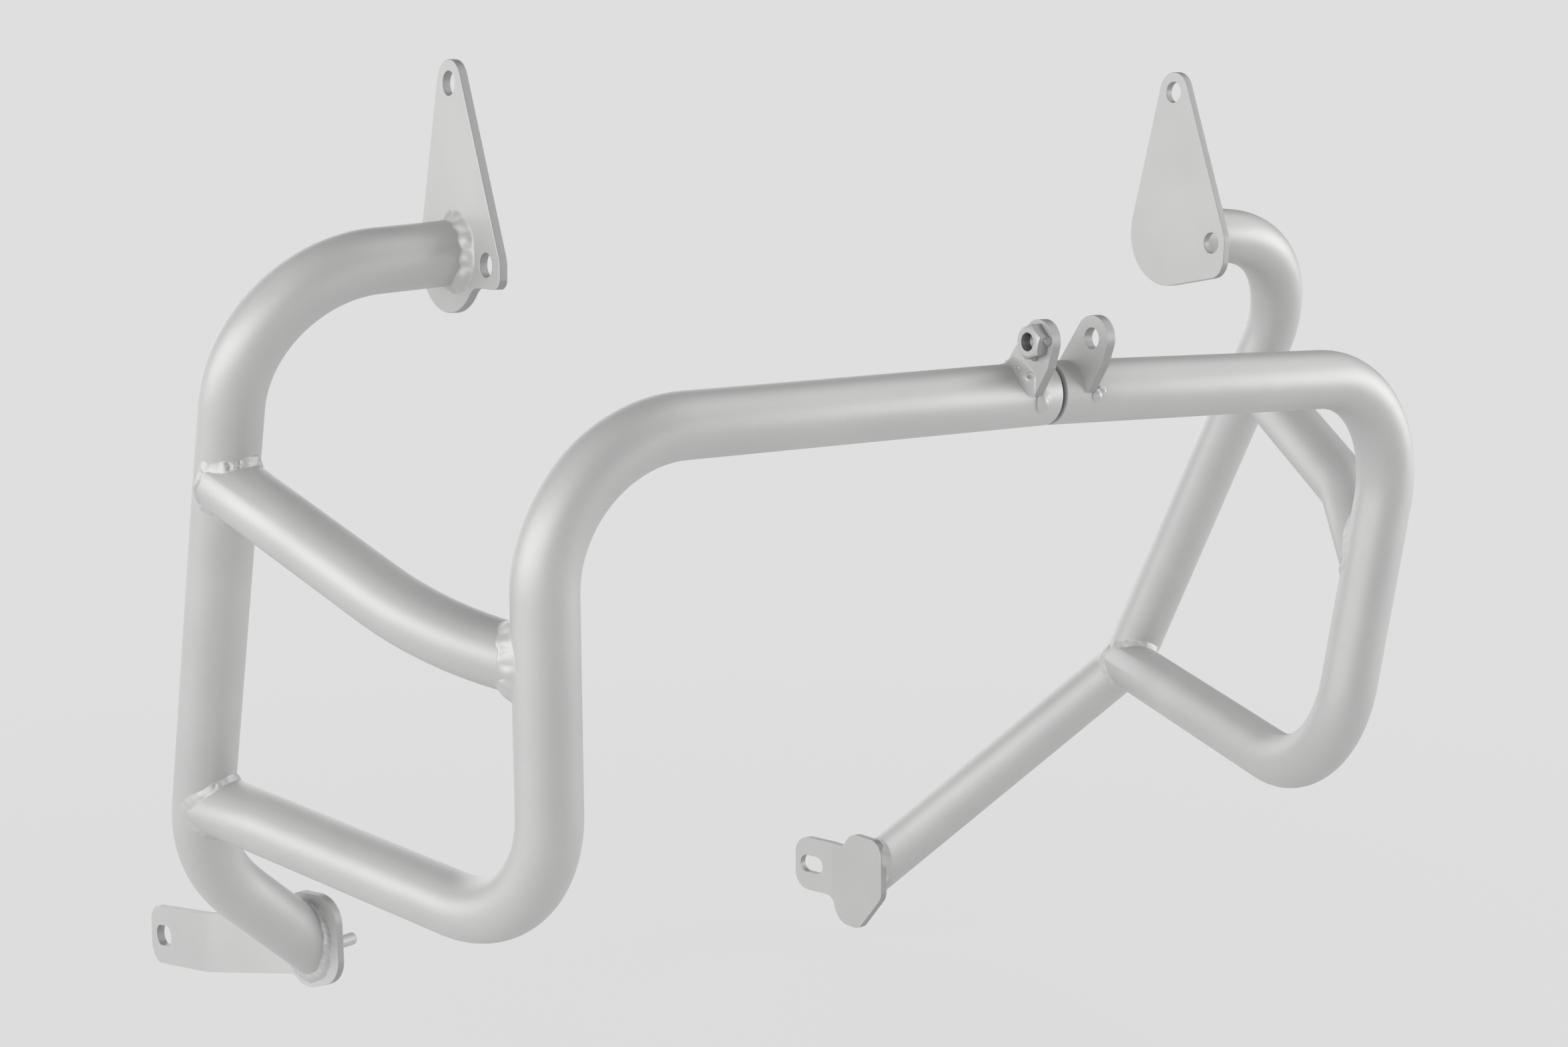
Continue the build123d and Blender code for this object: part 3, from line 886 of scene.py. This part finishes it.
def drawThread(nut):
    # A V section, one pitch wide at the root, turned up the bore
    start = nut["seat"] - nut["threadInset"]
    turns = (nut["height"] - nut["threadShort"]) / nut["pitch"]
    pickNone()
    bpy.ops.mesh.primitive_circle_add(
        vertices=3, radius=nut["pitch"] / math.sqrt(3) * mm, rotation=(math.radians(90), 0, 0))
    thread = bpy.context.object
    thread.name = "weld_nut_thread"
    squash = nut["threadDepth"] / (nut["pitch"] * triangleTall)
    pick(thread)
    bpy.ops.object.transform_apply(location=True, rotation=True, scale=True)
    low = min(v.co.z for v in thread.data.vertices)
    for vertex in thread.data.vertices:
        rise = (vertex.co.z - low) / mm * squash
        along = vertex.co.x + (start - nut["pitch"] / 2) * mm
        vertex.co = Vector((along, 0, (nut["boreRadius"] + nut["threadBury"] - rise) * mm))
    screw = thread.modifiers.new("turns", "SCREW")
    screw.axis = "X"
    screw.angle = 2 * math.pi * turns
    screw.screw_offset = (1 - turns) * nut["pitch"] * mm
    screw.steps = screw.render_steps = round(nut["threadSteps"] * turns)
    screw.use_merge_vertices = False
    applyAll(thread)
    bpy.ops.object.mode_set(mode="EDIT")
    bpy.ops.mesh.select_all(action="SELECT")
    bpy.ops.mesh.fill_holes(sides=3)
    bpy.ops.mesh.select_all(action="SELECT")
    bpy.ops.mesh.normals_make_consistent(inside=False)
    bpy.ops.object.mode_set(mode="OBJECT")
    smoothShade(thread, nut["threadSmooth"])
    return thread


nutBody = settle(drawNut(weldNut), nutFinish, "nut_steel", "weld_nut")
# All six flanks of the nut take the darker grey, as painted shade
nutBody.data.materials.append(paintedFlankShade)
for face in nutBody.data.polygons:
    if abs(face.normal.x) < weldNut["flankSlant"]:
        face.material_index = 1
# Bare steel thread, darkened further as painted shade of the bore
settle(drawThread(weldNut), threadSteelAndShade, "nut_steel")
tacks = []
for seed, degrees in zip(weldNut["tackSeeds"], weldNut["tackAngles"]):
    angle = math.radians(degrees)
    out = weldNut["tackOut"]
    place = (weldNut["seat"] - weldNut["tackRise"], out * math.cos(angle), out * math.sin(angle))
    tacks.append(drawLump(place, weldNut["tackRadii"], seed))
# The tacks take the same darker grey, as painted shade
settle(joinPieces(tacks, "weld_nut_tacks_rough"), paintedFlankShade, "powder_coat", "weld_nut_tacks")
print("nut fitted")


# Studio: a pale floor and backdrop, with broad soft lamps at both sides and behind.
# The floor shades off into a plain glow, so that it has no horizon and yet keeps the shadow.
studio = {
    "backdrop": 0.737,
    "floorGrey": 0.7,
    "floorRoughness": 0.9,
    "floorMiddle": 200,
    "floorDrop": 6,
    "floorSize": 60000,
    "floorGlow": 0.9,
    "shadowReach": (300, 1200),
    "lampsFace": (0, 150, -120),
    "world": 0.235,
}
lamps = {
    "leftLow": {"place": (-2770, 50, 270), "size": (5000, 1600), "power": 73},
    "leftHigh": {"place": (-1800, 90, 2025), "size": (4000, 1800), "power": 12},
    "rightLow": {"place": (2400, -1240, 270), "size": (3000, 1600), "power": 46},
    "rightHigh": {"place": (1560, -750, 2025), "size": (3000, 1800), "power": 25},
    "backLow": {"place": (470, 2810, 600), "size": (3000, 1800), "power": 30},
}


def layFloor():
    low = cadBounds[0][2] - studio["floorDrop"] * mm
    pickNone()
    bpy.ops.mesh.primitive_plane_add(
        size=studio["floorSize"] * mm, location=(0, studio["floorMiddle"] * mm, low))
    floor = bpy.context.object
    floor.name = "floor"
    material = bpy.data.materials.new("paleFloor")
    material.use_nodes = True
    tree = material.node_tree
    shader = tree.nodes["Principled BSDF"]
    shader.inputs["Base Color"].default_value = (*[studio["floorGrey"]] * 3, 1)
    shader.inputs["Roughness"].default_value = studio["floorRoughness"]
    glow = tree.nodes.new("ShaderNodeEmission")
    glow.inputs["Color"].default_value = (*[studio["backdrop"]] * 3, 1)
    coords = tree.nodes.new("ShaderNodeTexCoord")
    centred = tree.nodes.new("ShaderNodeMapping")
    centred.inputs["Location"].default_value = (0, -studio["floorMiddle"] * mm, 0)
    away = tree.nodes.new("ShaderNodeVectorMath")
    away.operation = "LENGTH"
    fade = tree.nodes.new("ShaderNodeMapRange")
    fade.interpolation_type = "SMOOTHERSTEP"
    fade.inputs["From Min"].default_value = studio["shadowReach"][0] * mm
    fade.inputs["From Max"].default_value = studio["shadowReach"][1] * mm
    fade.inputs["To Min"].default_value = studio["floorGlow"]
    fade.inputs["To Max"].default_value = 1
    blend = tree.nodes.new("ShaderNodeMixShader")
    link = tree.links.new
    link(coords.outputs["Object"], centred.inputs["Vector"])
    link(centred.outputs["Vector"], away.inputs[0])
    link(away.outputs["Value"], fade.inputs["Value"])
    link(fade.outputs["Result"], blend.inputs["Fac"])
    link(shader.outputs["BSDF"], blend.inputs[1])
    link(glow.outputs["Emission"], blend.inputs[2])
    link(blend.outputs["Shader"], tree.nodes["Material Output"].inputs["Surface"])
    floor.data.materials.append(material)


def lightWorld():
    world = bpy.data.worlds.new("studioWorld")
    bpy.context.scene.world = world
    world.use_nodes = True
    tree = world.node_tree
    shown = tree.nodes["Background"]
    shown.inputs["Color"].default_value = (*[studio["backdrop"]] * 3, 1)
    lit = tree.nodes.new("ShaderNodeBackground")
    lit.inputs["Color"].default_value = (1, 1, 1, 1)
    lit.inputs["Strength"].default_value = studio["world"]
    path = tree.nodes.new("ShaderNodeLightPath")
    blend = tree.nodes.new("ShaderNodeMixShader")
    tree.links.new(path.outputs["Is Camera Ray"], blend.inputs["Fac"])
    tree.links.new(lit.outputs["Background"], blend.inputs[1])
    tree.links.new(shown.outputs["Background"], blend.inputs[2])
    tree.links.new(blend.outputs["Shader"], tree.nodes["World Output"].inputs["Surface"])


def hangLamp(name, lamp):
    light = bpy.data.lights.new(name, "AREA")
    light.shape = "RECTANGLE"
    light.size, light.size_y = [s * mm for s in lamp["size"]]
    light.energy = lamp["power"]
    holder = bpy.data.objects.new(name, light)
    bpy.context.scene.collection.objects.link(holder)
    holder.location = Vector(lamp["place"]) * mm
    holder.visible_camera = False
    aim = Vector(studio["lampsFace"]) * mm - holder.location
    holder.rotation_euler = aim.to_track_quat("-Z", "Y").to_euler()


layFloor()
lightWorld()
for name, lamp in lamps.items():
    hangLamp(name, lamp)
print("studio lit")

# Camera, at the photograph's place and view
view = {
    "place": (-782.732, -873.729, 83.431),
    "tilt": 82.1796,
    "turn": -36.0622,
    "lens": 64.74,
    "sensor": 36,
    "clipStart": 50,
}
lens = bpy.data.cameras.new("photoCamera")
lens.lens = view["lens"]
lens.sensor_width = view["sensor"]
lens.clip_start = view["clipStart"] * mm
camera = bpy.data.objects.new("photoCamera", lens)
bpy.context.scene.collection.objects.link(camera)
camera.location = Vector(view["place"]) * mm
camera.rotation_euler = (math.radians(view["tilt"]), 0, math.radians(view["turn"]))
bpy.context.scene.camera = camera
bpy.context.scene.view_settings.view_transform = "Standard"
print("camera placed")
